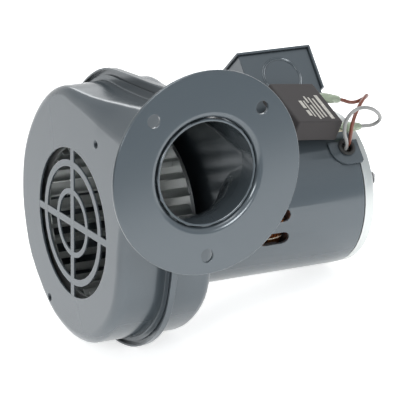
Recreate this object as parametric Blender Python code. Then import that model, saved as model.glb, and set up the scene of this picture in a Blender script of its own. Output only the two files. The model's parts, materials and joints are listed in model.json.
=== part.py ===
"""Combustion blower with a scroll housing, a fan wheel, a capacitor-run motor and a wiring box.

The outlet flange's face is centred on the origin and faces -Y. The fan axis runs along X, behind and
below the flange. Pieces are drawn in fan coordinates, in millimetres, with X = 0 on the housing's seam
and the fan axis at Y = Z = 0; every object's origin is on that axis.
"""
import math

import bmesh
import bpy
from mathutils import Matrix, Vector

MM = 0.001
GAP = 0.3                     # clearance between pieces that touch or nest

# ---- outlet -------------------------------------------------------------------------------------
OUTLET_REACH = 100.4          # flange face to fan axis, along Y
OUTLET_RISE = 50.5            # outlet centre above the fan axis
FLANGE_DIAMETER = 107.95      # 4 1/4 in disc
FLANGE_THICKNESS = 1.9
FLANGE_BORE = 57.94
COLLAR_DEPTH = 10.0
COLLAR_WALL = 1.5
COLLAR_FILLET = 3.4
BOLT_CIRCLE = 88.0
BOLT_HOLE = 7.14              # 9/32 in, for 1/4 in studs
BOLT_ANGLES = (45.0, 135.0, 270.0)

# ---- housing ------------------------------------------------------------------------------------
SHEET = 1.0
HALF_WIDTH = FLANGE_BORE / 2 - GAP - 0.07     # half width of the housing, and the neck's radius
SEAM_FILLET = 1.2
BEND_STEPS = 4
LIP_HEIGHT = 2.6              # rolled edge of the rear shell, standing in front of the seam
FRONT_SHARE = 0.45            # how much of the seam's width the front shell's flange covers
CORNER = 6.0                  # bend between the inlet face and the scroll's wall
INLET_RADIUS = 41.5
GRILLE_BAR = 4.0
GRILLE_RINGS = ((31.2, 34.9), (16.2, 19.1))
TAPPED_HOLE = 2.4
TAPPED_RADIUS = 59.1
TAPPED_ANGLES = (60.5, 240.5)
MOTOR_OPENING = 17.0

# Scroll wall as (polar angle, radius, corner, seam width); 0 degrees points at the outlet, 90 up.
SCROLL = (
    (104, 74.6, 5.0, 6.4), (116, 73.9, 5.5, 4.6), (130, 72.4, 6.0, 4.0), (145, 71.0, 6.0, 4.0),
    (160, 70.0, 6.0, 4.0), (176, 68.5, 6.0, 4.0), (192, 67.5, 6.0, 4.0), (213, 67.2, 6.0, 4.0),
    (241, 66.9, 6.0, 4.0), (262, 67.0, 6.0, 4.2), (280, 66.9, 6.0, 4.7), (296, 65.5, 6.0, 6.4),
    (313, 64.0, 6.0, 7.8), (328, 62.6, 6.0, 8.0), (343, 60.0, 6.0, 8.5),
)

# ---- fan wheel ----------------------------------------------------------------------------------
FAN_TIP = 48.4                # fan wheel's outer radius
FAN_TOE = 39.0
BLADE_COUNT = 30
BLADE_SHEET = 0.6
WHEEL_FRONT = -23.5
WHEEL_BACK = 22.0
PLATE_SHEET = 0.9             # wheel's back plate
HUB_RADIUS = 9.5
HUB_FRONT = 4.0

# ---- motor --------------------------------------------------------------------------------------
MOTOR_RADIUS = 43.7
MOTOR_END = 131.0             # end of the painted can
CAN_WALL = 1.5
END_COVER_DEPTH = 6.8         # bare rim of the end cover past the can
SLOT_ANGLES = (-16, 2, 20, 38, 56, 164, 182, 200, 218, 236)    # two facing groups of five
SLOT_WIDTH = 7.4
SLOT_LENGTH = 18.0
SLOT_END = 83.0
CORE_START = 84.0
CORE_LENGTH = 34.0
CORE_BORE = 24.4
COIL_COUNT = 8
ROTOR_GAP = 0.7
SHAFT_RADIUS = 3.97           # 5/16 in shaft
BEARING_RADIUS = 8.0
BEARING_LENGTH = 12.0
PLATE_START = HALF_WIDTH + GAP
PLATE_DEPTH = 3.0
FRONT_BEARING_X = PLATE_START + 2.0
REAR_BEARING_X = MOTOR_END - 8.0
MOUNT_CIRCLE = 33.0           # screws that hold the motor on the rear shell
MOUNT_ANGLES = (45, 135, 225, 315)
MOUNT_BOLT = 2.0
THROUGH_CIRCLE = 38.6         # screws that hold the end cover
THROUGH_ANGLES = (20, 110, 200, 290)
THROUGH_BOLT = 2.0
WASHER = 1.2
FAN_VANES = 8

# ---- wiring box, capacitor and leads ------------------------------------------------------------
BOX_ANGLE = 130.0
BOX_START = 87.0
BOX_END = 131.4
BOX_HALF = 29.3
BOX_TOP = 73.0
BOX_SHEET = 1.2
COVER_LIP = 1.7
BOX_SCREW = 1.9
KNOCKOUT_RADIUS = 11.1
KNOCKOUT_X = 110.0
KNOCKOUT_HEIGHT = 57.5
CAP_ANGLE = 67.5
CAP_TILT = 7.5
CAP_SIZE = (29.5, 36.9, 13.0)
CAP_CORNER = (90.4, -38.2, 51.5)
# Where each blade leaves the capacitor's end: back from the front, down from the top, dip of the blade.
TERMINALS = (("upper", 30.0, 4.6, 14.0), ("lower", 5.0, 8.2, 3.0))
BLADE_STUB = 2.0
BOOT_SIDES = 12
BOOT_OUTSIDE = ((0.0, 4.4, 2.1), (8.0, 4.4, 2.1), (10.5, 2.9, 2.2), (15.5, 2.3, 2.1))
BOOT_TUNNEL = ((15.5, 1.35, 1.35), (8.8, 1.35, 1.35), (7.2, 3.8, 1.1), (0.0, 3.8, 1.1))
LEAD_ANGLE = 42.0
LEAD_PLATE = (114.0, 132.6, 8.2, -6.0)        # left, right, lower and upper edges
LEAD_PLATE_CORNER = 10.0
LEAD_HOLE_X = 124.5
LEAD_HOLE_DROP = -1.7
LEAD_HOLE_RADIUS = 4.4
GROMMET_WALL = 1.1
LEAD_DIAMETER = 2.1
# Middle of each lead, from inside the motor to the end of its terminal's boot.
BROWN_ROUTE = (
    (125.6, -27.8, 29.1), (125.6, -32.5, 33.3), (124.9, -35.0, 36.5), (124.5, -36.5, 40.3),
    (125.2, -36.3, 44.3), (126.9, -35.3, 48.0), (129.2, -33.8, 51.0), (132.0, -31.8, 53.3),
    (134.9, -29.5, 55.1), (138.0, -26.9, 56.2), (141.0, -24.2, 56.7), (143.8, -21.2, 56.4),
    (146.1, -17.9, 55.3), (147.5, -14.5, 53.5), (147.6, -10.9, 51.5), (145.6, -8.0, 49.5),
    (142.0, -6.4, 49.2), (138.2, -5.7, 50.6), (134.2, -5.8, 51.7), (130.2, -6.2, 52.6),
)
GREY_ROUTE = (
    (123.1, -29.4, 27.4), (123.0, -34.1, 31.6), (121.9, -36.7, 34.6), (120.2, -38.9, 37.7),
    (118.2, -40.6, 41.0), (116.9, -42.0, 44.6), (116.5, -43.3, 48.6), (117.5, -44.4, 52.4),
    (120.2, -45.0, 55.5), (124.0, -45.2, 57.0), (128.1, -44.9, 56.9), (132.0, -44.1, 55.8),
    (135.6, -42.8, 54.0), (138.7, -41.1, 51.8), (141.4, -39.0, 49.4), (143.3, -36.5, 46.8),
    (143.9, -33.4, 44.1), (142.1, -30.5, 41.9), (138.3, -28.9, 41.4), (134.2, -28.7, 41.6),
    (130.1, -28.8, 41.8),
)

AXIS = Vector((0.0, OUTLET_REACH * MM, -OUTLET_RISE * MM))


# ---- tools --------------------------------------------------------------------------------------
def clear_scene():
    for obj in list(bpy.data.objects):
        bpy.data.objects.remove(obj, do_unlink=True)


def material(name, colour, metallic, roughness):
    mat = bpy.data.materials.new(name)
    mat.use_nodes = True
    shader = mat.node_tree.nodes["Principled BSDF"]
    shader.inputs["Base Color"].default_value = (*colour, 1.0)
    shader.inputs["Metallic"].default_value = metallic
    shader.inputs["Roughness"].default_value = roughness
    mat.diffuse_color = (*colour, 1.0)
    return mat


def finish(name, bm, mat, at=AXIS):
    """Turn a bmesh drawn in millimetres into a named object on the fan axis."""
    bmesh.ops.remove_doubles(bm, verts=bm.verts, dist=0.0005)
    bmesh.ops.dissolve_degenerate(bm, edges=bm.edges, dist=0.0005)
    bmesh.ops.recalc_face_normals(bm, faces=bm.faces)
    bmesh.ops.scale(bm, vec=(MM, MM, MM), verts=bm.verts)
    mesh = bpy.data.meshes.new(name)
    bm.to_mesh(mesh)
    bm.free()
    mesh.shade_smooth()
    mesh.set_sharp_from_angle(angle=math.radians(35))
    obj = bpy.data.objects.new(name, mesh)
    obj.location = at
    mesh.materials.append(mat)
    bpy.context.scene.collection.objects.link(obj)
    return obj


def add_turned(bm, profile, steps=28, axis=(1, 0, 0), centre=(0, 0, 0)):
    """Spin a closed (along, radius) profile round an axis through centre."""
    axis = Vector(axis)
    side = Vector((0, 0, 1)) if abs(axis.z) < 0.5 else Vector((1, 0, 0))
    centre = Vector(centre)
    verts = [bm.verts.new(centre + axis * along + side * radius) for along, radius in profile]
    edges = []
    for i in range(len(verts)):
        j = (i + 1) % len(verts)
        if profile[i][1] > 0 or profile[j][1] > 0:
            edges.append(bm.edges.new((verts[i], verts[j])))
    bmesh.ops.spin(bm, geom=verts + edges, cent=centre, axis=axis, steps=steps,
                   angle=math.tau, use_merge=True, use_duplicate=False)
    loose = [e for e in bm.edges if not e.link_faces]
    bmesh.ops.delete(bm, geom=loose, context="EDGES")


def turned(name, profile, mat, steps=28, **place):
    bm = bmesh.new()
    add_turned(bm, profile, steps, **place)
    return finish(name, bm, mat)


def ring(start, end, inner, outer, bevel=0.0):
    """Closed profile of a tube, with its outer edges eased by bevel."""
    b = bevel
    if b <= 0:
        return ((start, inner), (start, outer), (end, outer), (end, inner))
    return ((start, inner), (start, outer - b), (start + b, outer), (end - b, outer),
            (end, outer - b), (end, inner))


def add_rod(bm, start, end, radius, sides=16, taper=None):
    """Straight round bar between two points."""
    start, end = Vector(start), Vector(end)
    run = end - start
    turn = run.to_track_quat("Z", "Y").to_matrix().to_4x4()
    place = Matrix.Translation((start + end) / 2) @ turn
    bmesh.ops.create_cone(bm, cap_ends=True, segments=sides, radius1=radius,
                          radius2=radius if taper is None else taper, depth=run.length, matrix=place)


def add_block(bm, size, place, bevel=0.0, segments=1):
    """Rectangular block, its edges eased by bevel."""
    made = bmesh.ops.create_cube(bm, size=1.0)["verts"]
    bmesh.ops.scale(bm, vec=size, verts=made)
    if bevel > 0:
        edges = list({e for v in made for e in v.link_edges})
        bevelled = bmesh.ops.bevel(bm, geom=edges, offset=bevel, segments=segments,
                                   profile=0.5, affect="EDGES")
        made = list({v for v in made if v.is_valid} | set(bevelled["verts"]))
    bmesh.ops.transform(bm, matrix=place, verts=made)


def add_plate(bm, outline, low, high, place):
    """Flat plate: an outline in the plate's own plane, extruded from low to high."""
    base = [bm.verts.new(place @ Vector((u, v, low))) for u, v in outline]
    top = [bm.verts.new(place @ Vector((u, v, high))) for u, v in outline]
    bm.faces.new(base)
    bm.faces.new(top)
    for i in range(len(outline)):
        j = (i + 1) % len(outline)
        bm.faces.new((base[i], base[j], top[j], top[i]))


def cutter(name, bm, at=AXIS):
    obj = finish(name, bm, CUT, at)
    obj.hide_render = True
    obj.display_type = "WIRE"
    return obj


def cut(obj, tool, how="DIFFERENCE"):
    modifier = obj.modifiers.new("cut_" + tool.name, "BOOLEAN")
    modifier.operation = how
    modifier.object = tool


def polar(angle, radius):
    """Y and Z of a point at a polar angle from the outlet's direction, turning up."""
    turn = math.radians(angle)
    return -radius * math.cos(turn), radius * math.sin(turn)


def screw(name, mat, tip, seat, shank, head, height, steps=10):
    """Round-headed screw from its tip to the face that its head seats on, both as points."""
    tip, seat = Vector(tip), Vector(seat)
    length = (seat - tip).length
    profile = ((0.0, 0.0), (0.0, shank - 0.5), (0.5, shank), (length, shank), (length, head),
               (length + height * 0.55, head), (length + height, head * 0.66), (length + height, 0.0))
    return turned(name, profile, mat, steps, axis=(seat - tip).normalized(), centre=tip)


def local_frame(angle, along, radius):
    """Frame on the motor: X along the axis, Y down round the can, Z straight out."""
    turn = math.radians(angle)
    out = Vector((0, -math.cos(turn), math.sin(turn)))
    down = Vector((0, -math.sin(turn), -math.cos(turn)))
    frame = Matrix.Identity(4)
    frame.col[0] = (1, 0, 0, 0)
    frame.col[1] = (*down, 0)
    frame.col[2] = (*out, 0)
    frame.col[3] = (along, *(out * radius).yz, 1)
    return frame


def circle(radius, sides, centre=(0.0, 0.0)):
    return [(centre[0] + radius * math.cos(math.tau * i / sides),
             centre[1] + radius * math.sin(math.tau * i / sides)) for i in range(sides)]


def smooth_through(stations, per_gap):
    """Points on a smooth curve through the stations, closer together than they are."""
    points = []
    last = len(stations) - 1
    for i in range(last):
        before = stations[max(i - 1, 0)]
        after = stations[min(i + 2, last)]
        here, there = stations[i], stations[i + 1]
        for step in range(per_gap[i]):
            t = step / per_gap[i]
            points.append(tuple(
                0.5 * ((2 * b) + (c - a) * t + (2 * a - 5 * b + 4 * c - d) * t * t
                       + (3 * b - a - 3 * c + d) * t ** 3)
                for a, b, c, d in zip(before, here, there, after)))
    points.append(tuple(stations[-1]))
    return points


# ---- housing shells -----------------------------------------------------------------------------
def housing_outline():
    """Wall of the housing from the neck's top edge, round the scroll, to the neck's lower edge.

    Each point holds its distance towards the outlet, its height, the corner and the seam's width.
    """
    neck_end = OUTLET_REACH - 1.6
    collar_start = OUTLET_REACH - COLLAR_DEPTH - 1.2
    roof = OUTLET_RISE + HALF_WIDTH
    floor = OUTLET_RISE - HALF_WIDTH
    seam = 10.4
    upper = [
        (neck_end, roof, HALF_WIDTH, 0.0), (collar_start + 0.9, roof, HALF_WIDTH * 0.985, 0.0),
        (collar_start, roof, HALF_WIDTH * 0.97, seam),
        (75.0, roof - 1.2, 23.5, seam), (61.0, roof - 2.9, 19.5, seam),
        (47.0, roof - 4.3, 16.0, seam), (33.0, roof - 5.2, 12.5, seam),
        (19.0, roof - 5.8, 9.2, seam), (5.0, roof - 6.0, 6.8, seam - 0.6), (-7.0, roof - 5.6, 5.2, 8.4),
    ]
    scroll = [(-polar(angle, radius)[0], polar(angle, radius)[1], corner, width)
              for angle, radius, corner, width in SCROLL]
    lower = [
        (58.6, floor - 31.0, 6.0, 8.8), (60.2, floor - 21.0, 7.0, 9.0), (64.2, floor - 11.0, 9.0, 9.0),
        (71.5, floor - 3.6, 14.0, 9.0), (80.5, floor - 0.4, 22.0, 9.0),
        (collar_start, floor, HALF_WIDTH * 0.97, 9.0),
        (collar_start + 0.9, floor, HALF_WIDTH * 0.985, 0.0), (neck_end, floor, HALF_WIDTH, 0.0),
    ]
    stations = upper + scroll + lower
    gaps = [1, 1] + [2] * (len(upper) - 4) + [2, 2] + [3] * (len(scroll) - 1)
    gaps += [2] * (len(lower) - 2) + [1, 1]
    gaps = gaps[:len(stations) - 1]
    points = smooth_through(stations, gaps)
    return [(a, z, corner, max(width, 0.0)) for a, z, corner, width in points]


def bend(corner, steps, squareness):
    """Quarter bend from the wall (0, corner) to the face (corner, 0), as inward and depth shares."""
    power = 2.0 / squareness
    return [(corner * (1 - math.cos(t) ** power), corner * (1 - math.sin(t) ** power))
            for t in (math.pi / 2 * i / steps for i in range(steps + 1))]


def shell_profile(corner, width, rear):
    """Outer and inner skin of one shell, as (inward offset, depth from the seam) pairs."""
    easing = min(1.0, max(0.0, (corner - 7.0) / 6.0)) * min(1.0, max(0.0, (HALF_WIDTH - corner) / 6.0))
    squareness = 2.0 - 0.55 * easing
    gap = GAP / 2
    flange = width if rear else width * FRONT_SHARE
    fillet = min(SEAM_FILLET, flange * 0.5)
    outer = []
    if rear:
        wall = min(SHEET, flange)
        rim = gap - (gap + LIP_HEIGHT) * min(1.0, flange / LIP_HEIGHT)
        outer += [(-(flange - wall), gap), (-(flange - wall), rim), (-flange, rim)]
        ease = 0.4 * min(1.0, flange)
        outer += [(-flange, gap + SHEET - ease), (-(flange - ease), gap + SHEET)]
    else:
        outer += [(-flange, gap), (-flange, gap + SHEET)]
    for i in range(3):
        t = math.pi / 2 * i / 2
        outer.append((-fillet * (1 - math.sin(t)), gap + SHEET + fillet * (1 - math.cos(t))))
    wall_start = outer[-1][1] + 0.1
    outer += [(inward, max(HALF_WIDTH - depth, wall_start))
              for inward, depth in bend(corner, BEND_STEPS, squareness)]
    inner = [(SHEET + inward, max(HALF_WIDTH - SHEET - depth, gap + 0.1))
             for inward, depth in reversed(bend(corner - SHEET, BEND_STEPS, squareness))]
    inner.append((SHEET, gap))
    return outer, inner


def housing_shell(name, mat, rear, opening, sides):
    """One pressed half of the housing: wall, bend, face, seam flange and half of the neck."""
    direction = 1.0 if rear else -1.0
    outline = housing_outline()
    count = len(outline)
    bm = bmesh.new()
    skins = []
    for i, (a, z, corner, width) in enumerate(outline):
        ahead, behind = outline[min(i + 1, count - 1)], outline[max(i - 1, 0)]
        run = Vector((ahead[0] - behind[0], ahead[1] - behind[1]))
        if a > OUTLET_REACH - COLLAR_DEPTH - 1.3:
            run = Vector((-1.0 if i < count / 2 else 1.0, 0.0))
        run.normalize()
        inward = Vector((-run.y, run.x))
        outer, inner = shell_profile(corner, width, rear)
        row = []
        for offset, depth in outer + inner:
            at = Vector((a, z)) + inward * offset
            row.append(bm.verts.new((direction * depth, -at.x, at.y)))
        skins.append((row, len(outer)))
    turn = skins[0][1]
    total = len(skins[0][0])
    for index in (turn - 1, turn):
        bmesh.ops.pointmerge(bm, verts=[skins[0][0][index], skins[-1][0][index]],
                             merge_co=skins[0][0][index].co)
    first, last = skins[0][0], skins[-1][0]
    for index in (turn - 1, turn):
        keep = first[index] if first[index].is_valid else last[index]
        first[index] = keep
        last[index] = keep
    for i in range(count - 1):
        here, there = skins[i][0], skins[i + 1][0]
        for j in range(total):
            k = (j + 1) % total
            if j == turn - 1:
                continue
            corners = [here[j], here[k], there[k], there[j]]
            if len(set(corners)) == 4:
                bm.faces.new(corners)
            else:
                bm.faces.new([v for n, v in enumerate(corners) if v not in corners[:n]])
    bm.faces.new(first)
    bm.faces.new(last)
    rims = []
    for index, depth in ((turn - 1, HALF_WIDTH), (turn, HALF_WIDTH - SHEET)):
        edge_loop = [skins[i][0][index] for i in range(count - 1)]
        edges = [bm.edges.get((edge_loop[i], edge_loop[(i + 1) % len(edge_loop)]))
                 or bm.edges.new((edge_loop[i], edge_loop[(i + 1) % len(edge_loop)]))
                 for i in range(len(edge_loop))]
        hole = [bm.verts.new((direction * depth, y, z)) for y, z in circle(opening, sides)]
        edges += [bm.edges.new((hole[i], hole[(i + 1) % sides])) for i in range(sides)]
        bmesh.ops.triangle_fill(bm, use_beauty=True, use_dissolve=False, edges=edges)
        rims.append(hole)
    for i in range(sides):
        j = (i + 1) % sides
        bm.faces.new((rims[0][i], rims[0][j], rims[1][j], rims[1][i]))
    return finish(name, bm, mat)


def grille_tool():
    """Rings and cross bars of the inlet grille, to be joined to the front shell's face."""
    bm = bmesh.new()
    low, high = -HALF_WIDTH + 0.04, -HALF_WIDTH + SHEET - 0.04
    for inner, outer in GRILLE_RINGS:
        add_turned(bm, ring(low, high, inner, outer), 36)
    rings = cutter("grille_rings", bm)
    bars = bmesh.new()
    reach = 2 * (INLET_RADIUS + 1.2)
    add_block(bars, (high - low - 0.02, GRILLE_BAR, reach), Matrix.Translation(((low + high) / 2, 0, 0)))
    upright = cutter("grille_upright", bars)
    bars = bmesh.new()
    add_block(bars, (high - low - 0.04, reach, GRILLE_BAR), Matrix.Translation(((low + high) / 2, 0, 0)))
    level = cutter("grille_level", bars)
    return rings, upright, level


def holes_tool(name, centres, radius, low, high, sides=10):
    bm = bmesh.new()
    for y, z in centres:
        add_rod(bm, (low, y, z), (high, y, z), radius, sides)
    return cutter(name, bm)


def build_housing():
    front = housing_shell("front_shell", PAINT, False, INLET_RADIUS, 48)
    for tool in grille_tool():
        cut(front, tool, "UNION")
    tapped = [polar(angle, TAPPED_RADIUS) for angle in TAPPED_ANGLES]
    face = -HALF_WIDTH
    cut(front, holes_tool("tapped_holes", tapped, TAPPED_HOLE, face - 2, face + SHEET + 2))
    rear = housing_shell("rear_shell", PAINT, True, MOTOR_OPENING, 24)
    bolts = [polar(angle, MOUNT_CIRCLE) for angle in MOUNT_ANGLES]
    cut(rear, holes_tool("motor_bolt_holes", bolts, MOUNT_BOLT + GAP, HALF_WIDTH - 4, HALF_WIDTH + 2))


def build_outlet_flange():
    half_disc = FLANGE_DIAMETER / 2
    bore = FLANGE_BORE / 2
    skin = bore + COLLAR_WALL
    fillet = COLLAR_FILLET
    inner_arc = [(fillet * (1 - math.cos(t)), bore + fillet * (1 - math.sin(t)))
                 for t in (math.pi / 2 * i / 3 for i in range(4))]
    back_fillet = max(fillet - FLANGE_THICKNESS, 1.0)
    outer_arc = [(FLANGE_THICKNESS + back_fillet * (1 - math.cos(t)), skin + back_fillet * (1 - math.sin(t)))
                 for t in (math.pi / 2 * i / 2 for i in range(3))]
    profile = inner_arc + [(COLLAR_DEPTH, bore), (COLLAR_DEPTH, skin)] + outer_arc[::-1]
    edge = 0.5
    profile += [(FLANGE_THICKNESS, half_disc - edge), (FLANGE_THICKNESS - edge, half_disc),
                (edge, half_disc), (0.0, half_disc - edge)]
    profile = [(along - OUTLET_REACH, radius) for along, radius in profile]
    flange = turned("outlet_flange", profile, PAINT, 56, axis=(0, 1, 0), centre=(0, 0, OUTLET_RISE))
    bm = bmesh.new()
    for angle in BOLT_ANGLES:
        turn = math.radians(angle)
        x = BOLT_CIRCLE / 2 * math.cos(turn)
        z = OUTLET_RISE + BOLT_CIRCLE / 2 * math.sin(turn)
        add_rod(bm, (x, -OUTLET_REACH - 2, z), (x, -OUTLET_REACH + FLANGE_THICKNESS + 2, z),
                BOLT_HOLE / 2, 16)
    cut(flange, cutter("flange_holes", bm))


# ---- fan wheel ----------------------------------------------------------------------------------


def build_wheel():
    plate = WHEEL_BACK
    turned("wheel_backplate", ring(plate - PLATE_SHEET, plate, HUB_RADIUS + GAP, FAN_TIP), ZINC, 40)
    lip = 1.6
    turned("wheel_front_ring", (
        (WHEEL_FRONT, FAN_TOE + 2.2), (WHEEL_FRONT, FAN_TIP + 0.2), (WHEEL_FRONT + lip, FAN_TIP + 1.0),
        (WHEEL_FRONT + lip + 1.2, FAN_TIP + 1.0), (WHEEL_FRONT + lip + 1.2, FAN_TIP + GAP),
        (WHEEL_FRONT + BLADE_SHEET + 0.4, FAN_TIP + GAP), (WHEEL_FRONT + BLADE_SHEET + 0.2, FAN_TOE + 2.6),
    ), ZINC, 40)
    bm = bmesh.new()
    start = WHEEL_FRONT + BLADE_SHEET + 0.4 + GAP
    end = plate - PLATE_SHEET - GAP
    sweep = [(FAN_TOE, 0.0), (FAN_TOE + 3.2, -1.9), (FAN_TOE + 6.4, -0.4),
             (FAN_TIP - GAP, 3.6)]
    half = BLADE_SHEET / 2
    for number in range(BLADE_COUNT):
        turn = Matrix.Rotation(math.tau * number / BLADE_COUNT, 4, "X")
        leading, trailing = [], []
        for i, (radius, shift) in enumerate(sweep):
            ahead = Vector(sweep[min(i + 1, len(sweep) - 1)])
            behind = Vector(sweep[max(i - 1, 0)])
            side = (ahead - behind).normalized()
            leading.append((radius - side.y * half, shift + side.x * half))
            trailing.append((radius + side.y * half, shift - side.x * half))
        outline = leading + trailing[::-1]
        stand = Matrix(((0, 0, 1, 0), (0, -1, 0, 0), (1, 0, 0, 0), (0, 0, 0, 1)))
        add_plate(bm, outline, start, end, turn @ stand)
    blades = cutter("blade_strips", bm)
    band = 0.7
    back_band = turned("wheel_blades",
                       ring(end - band + 0.02, end + 0.02, FAN_TOE + 1.0, FAN_TIP - GAP), ZINC, 30)
    bm = bmesh.new()
    add_turned(bm, ring(start - 0.02, start + band - 0.02, FAN_TOE + 2.8, FAN_TIP - GAP - 0.6), 30)
    cut(back_band, blades, "UNION")
    cut(back_band, cutter("front_band", bm), "UNION")
    turned("wheel_hub", (
        (HUB_FRONT, SHAFT_RADIUS + GAP), (HUB_FRONT, HUB_RADIUS - 2.0), (HUB_FRONT + 0.8, HUB_RADIUS - 1.2),
        (plate - 5.0, HUB_RADIUS - 1.2), (plate - 4.0, HUB_RADIUS), (plate + 1.0, HUB_RADIUS),
        (plate + 1.0, SHAFT_RADIUS + GAP),
    ), STEEL, 24)
    hub = bpy.data.objects["wheel_hub"]
    screw_x = HUB_FRONT + 6.0
    bm = bmesh.new()
    add_rod(bm, (screw_x, 0, SHAFT_RADIUS - 0.2), (screw_x, 0, HUB_RADIUS + 4), 2.4 + GAP, 12)
    cut(hub, cutter("set_screw_hole", bm))
    bm = bmesh.new()
    add_rod(bm, (screw_x, 0, SHAFT_RADIUS + GAP), (screw_x, 0, HUB_RADIUS + 1.6), 2.4, 12)
    screw = finish("wheel_set_screw", bm, STEEL)
    bm = bmesh.new()
    add_rod(bm, (screw_x, 0, HUB_RADIUS - 1.2), (screw_x, 0, HUB_RADIUS + 4), 1.3, 6)
    cut(screw, cutter("set_screw_socket", bm))


# ---- motor --------------------------------------------------------------------------------------


def build_motor_case():
    inner = MOTOR_RADIUS - CAN_WALL
    start = PLATE_START + PLATE_DEPTH + GAP
    can = turned("motor_can", ring(start, MOTOR_END, inner, MOTOR_RADIUS, 0.6), PAINT, 56)
    bm = bmesh.new()
    middle = SLOT_END - SLOT_LENGTH / 2
    for angle in SLOT_ANGLES:
        frame = local_frame(angle, middle, MOTOR_RADIUS)
        straight = SLOT_LENGTH / 2 - SLOT_WIDTH / 2
        outline = [(straight + x, y) for x, y in circle(SLOT_WIDTH / 2, 12) if x > -0.01]
        outline = sorted(outline, key=lambda p: math.atan2(p[1], p[0] - straight))
        outline += [(-x, -y) for x, y in outline]
        add_plate(bm, outline, -4.0, 2.5, frame)
    cut(can, cutter("vent_slots", bm))
    bm = bmesh.new()
    frame = local_frame(LEAD_ANGLE, LEAD_HOLE_X, MOTOR_RADIUS)
    add_rod(bm, frame @ Vector((0, LEAD_HOLE_DROP, -4)), frame @ Vector((0, LEAD_HOLE_DROP, 3)),
            LEAD_HOLE_RADIUS + 0.8, 16)
    frame = local_frame(BOX_ANGLE, KNOCKOUT_X, MOTOR_RADIUS)
    add_rod(bm, frame @ Vector((0, 0, -4)), frame @ Vector((0, 0, 3)), 8.0, 16)
    cut(can, cutter("lead_holes", bm))

    plate = turned("motor_front_plate", (
        (PLATE_START, BEARING_RADIUS + GAP), (PLATE_START, MOTOR_RADIUS - 0.6),
        (PLATE_START + 0.6, MOTOR_RADIUS),
        (PLATE_START + PLATE_DEPTH, MOTOR_RADIUS), (PLATE_START + PLATE_DEPTH, inner - GAP),
        (PLATE_START + PLATE_DEPTH + 4, inner - GAP), (PLATE_START + PLATE_DEPTH + 4, inner - 2.0),
        (PLATE_START + PLATE_DEPTH, inner - 3.0), (PLATE_START + PLATE_DEPTH, BEARING_RADIUS + 6),
        (FRONT_BEARING_X + BEARING_LENGTH, BEARING_RADIUS + 3),
        (FRONT_BEARING_X + BEARING_LENGTH, BEARING_RADIUS + GAP),
    ), CAST, 36)
    bolts = [polar(angle, MOUNT_CIRCLE) for angle in MOUNT_ANGLES]
    cut(plate, holes_tool("plate_bolt_holes", bolts, MOUNT_BOLT + GAP, PLATE_START - 2, PLATE_START + 8))

    end = MOTOR_END + GAP
    cover = turned("motor_end_cover", (
        (end, MOTOR_RADIUS - 0.3), (end + END_COVER_DEPTH - 2.4, MOTOR_RADIUS - 0.3),
        (end + END_COVER_DEPTH - 0.9, MOTOR_RADIUS - 1.0), (end + END_COVER_DEPTH - 0.2, MOTOR_RADIUS - 2.2),
        (end + END_COVER_DEPTH, MOTOR_RADIUS - 3.6), (end + END_COVER_DEPTH, 16.0),
        (end + END_COVER_DEPTH + 3.0, 13.0), (end + END_COVER_DEPTH + 3.0, 5.6),
        (end + END_COVER_DEPTH - 1.0, 5.0), (REAR_BEARING_X + BEARING_LENGTH + GAP, 5.0),
        (REAR_BEARING_X + BEARING_LENGTH + GAP, BEARING_RADIUS + GAP), (REAR_BEARING_X, BEARING_RADIUS + GAP),
        (REAR_BEARING_X, BEARING_RADIUS + 3), (end + 2.0, BEARING_RADIUS + 6),
        (end + 2.0, inner - 3.0), (end - 4.0, inner - 2.2), (end - 4.0, inner - GAP), (end, inner - GAP),
    ), ZINC, 48)
    through = [polar(angle, THROUGH_CIRCLE) for angle in THROUGH_ANGLES]
    cut(cover, holes_tool("cover_bolt_holes", through, THROUGH_BOLT + GAP,
                          end - 5, end + END_COVER_DEPTH + 2))
    cooling = []
    for angle in range(0, 360, 45):
        cooling.append(polar(angle + 22.5, 25.0))
    cut(cover, holes_tool("cover_vents", cooling, 4.2, end - 5, end + END_COVER_DEPTH + 6))


def build_fasteners():
    seat = HALF_WIDTH - SHEET - GAP
    for number, angle in enumerate(MOUNT_ANGLES, 1):
        y, z = polar(angle, MOUNT_CIRCLE)
        screw(f"motor_mounting_screw_{number}", STEEL, (PLATE_START + PLATE_DEPTH + 4.5, y, z), (seat, y, z),
              MOUNT_BOLT, 3.8, 2.2)
    seat = MOTOR_END + GAP + END_COVER_DEPTH + GAP
    for number, angle in enumerate(THROUGH_ANGLES, 1):
        y, z = polar(angle, THROUGH_CIRCLE)
        screw(f"end_cover_screw_{number}", STEEL, (seat - END_COVER_DEPTH - 6.0, y, z), (seat, y, z),
              THROUGH_BOLT, 3.6, 2.4)


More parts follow.
